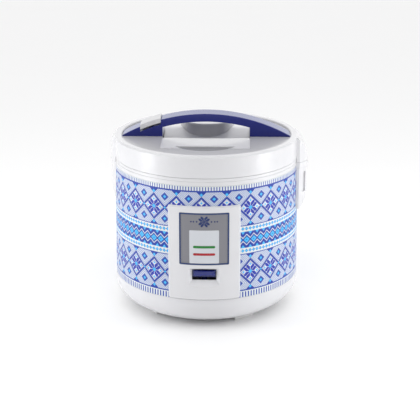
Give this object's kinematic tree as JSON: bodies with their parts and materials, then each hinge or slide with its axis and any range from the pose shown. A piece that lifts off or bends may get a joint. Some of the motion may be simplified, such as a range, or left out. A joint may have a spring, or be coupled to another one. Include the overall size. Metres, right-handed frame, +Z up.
{
  "type": "rice cooker",
  "caption": "Jar-type rice cooker with a patterned sleeve, side-hinged lid with arched handle, steam vent cap, removable pot and cook/warm switch.",
  "frame": {"origin": "on the body's vertical axis, level with the foot soles (the bottom cover's flat plateau is 2 mm above it)", "axes": "+Z up, -Y towards the control panel, +X towards the lid hinge and dew collector"},
  "size_m": [0.2816, 0.2681, 0.282],
  "materials": {
    "white_gloss": "gloss",
    "deck_grey": "satin",
    "inset_grey": "satin",
    "navy_gloss": "gloss",
    "button_grey": "satin",
    "printed_wrap": "gloss print on coated sheet",
    "label_navy": "gloss",
    "label_grey": "satin",
    "label_light": "satin",
    "lens_green": "gloss",
    "lens_red": "gloss",
    "foot_rubber": "matte",
    "liner_aluminium": "satin",
    "pot_aluminium": "anodised",
    "cast_aluminium": "machined",
    "plated_steel": "zinc plated",
    "spring_steel": "bright",
    "element_sheath": "heat tinted",
    "magnet": "sintered",
    "silicone": "translucent",
    "board_green": "lacquered",
    "lamp_glass": "clear",
    "black_plastic": "matte",
    "brass": "bright"
  },
  "bodies": {
    "root": {"base_shell": "white_gloss", "bottom_cover": "plated_steel", "cover_screws": "plated_steel", "feet": "foot_rubber", "body_wrap": "printed_wrap", "upper_ring": "white_gloss", "inner_liner": "liner_aluminium", "heating_plate": "cast_aluminium", "heating_element": "element_sheath", "plate_legs": "plated_steel", "thermal_fuse": "black_plastic", "thermostat_can": "plated_steel", "sensor_spring": "spring_steel", "key_spring": "spring_steel", "lever_bracket": "plated_steel", "lever_pin": "spring_steel", "switch_bracket": "plated_steel", "microswitch": "black_plastic", "control_panel": "white_gloss", "label_border": "label_navy", "label_plate": "label_grey", "label_insert": "label_light", "warm_lens": "lens_green", "cook_lens": "lens_red", "lamp_board": "board_green", "indicator_lamps": "lamp_glass", "power_inlet": "black_plastic", "inlet_pins": "brass", "hinge_block": "white_gloss", "hinge_pin": "spring_steel", "collector_rail": "white_gloss", "latch_housing": "white_gloss"},
    "inner_pot": {"inner_pot": "pot_aluminium"},
    "cook_key": {"cook_key": "navy_gloss"},
    "cook_lever": {"cook_lever": "plated_steel"},
    "magnet_plunger": {"magnet_plunger": "magnet"},
    "sensor_cap": {"sensor_cap": "liner_aluminium"},
    "dew_collector": {"dew_collector": "white_gloss"},
    "lid": {"lid_shell": "white_gloss", "centre_strip": "white_gloss", "lid_deck": "deck_grey", "lid_inset": "inset_grey", "handle": "navy_gloss", "latch_pin": "spring_steel", "latch_spring": "spring_steel", "vent_seat": "white_gloss", "lid_lining": "white_gloss", "lid_screws": "plated_steel", "inner_lid": "liner_aluminium", "lid_gasket": "silicone", "lid_grommet": "silicone", "hinge_leaf": "plated_steel", "hinge_spring": "spring_steel"},
    "vent_cap": {"vent_cap": "white_gloss"},
    "release_button": {"release_button": "button_grey"},
    "latch_lever": {"latch_lever": "black_plastic"}
  },
  "joints": [
    {"name": "lid_hinge", "type": "hinge", "parent": "root", "child": "lid", "pos_m": [0.141, 0, 0.2115], "axis": [0, 1, 0], "range_deg": [0, 85]},
    {"name": "button_press", "type": "slide", "parent": "lid", "child": "release_button", "axis": [0, 0, -1], "range_m": [0, 0.0025], "stiffness_N_per_m": 500, "springref_m": -0.004},
    {"name": "latch_swing", "type": "hinge", "parent": "lid", "child": "latch_lever", "pos_m": [-0.124, 0, 0.236], "axis": [0, 1, 0], "range_deg": [0, 3.4], "deforming": ["latch_spring"]},
    {"name": "vent_cap_lift", "type": "slide", "parent": "lid", "child": "vent_cap", "axis": [0, 0, 1], "range_m": [0, 0.03]},
    {"name": "key_press", "type": "slide", "parent": "root", "child": "cook_key", "axis": [0, 0, -1], "range_m": [0, 0.005], "stiffness_N_per_m": 300, "springref_m": -0.006, "deforming": ["key_spring"]},
    {"name": "lever_rock", "type": "hinge", "parent": "root", "child": "cook_lever", "pos_m": [0, -0.06, 0.0415], "axis": [1, 0, 0], "range_deg": [0, 5]},
    {"name": "plunger_lift", "type": "slide", "parent": "root", "child": "magnet_plunger", "axis": [0, 0, 1], "range_m": [0, 0.0052]},
    {"name": "sensor_press", "type": "slide", "parent": "root", "child": "sensor_cap", "axis": [0, 0, -1], "range_m": [0, 0.001], "stiffness_N_per_m": 400, "springref_m": -0.004, "deforming": ["sensor_spring"]},
    {"name": "pot_turn", "type": "hinge", "parent": "root", "child": "inner_pot", "pos_m": [0, 0, 0.1], "axis": [0, 0, 1], "continuous": true},
    {"name": "collector_pull", "type": "slide", "parent": "root", "child": "dew_collector", "axis": [1, 0, 0], "range_m": [0, 0.04]}
  ],
  "couplings": [
    {"joint": "lever_rock", "follows": "key_press", "rad_per_m": 16.667},
    {"joint": "plunger_lift", "follows": "key_press", "ratio": 1},
    {"joint": "latch_swing", "follows": "button_press", "rad_per_m": 22.472}
  ]
}
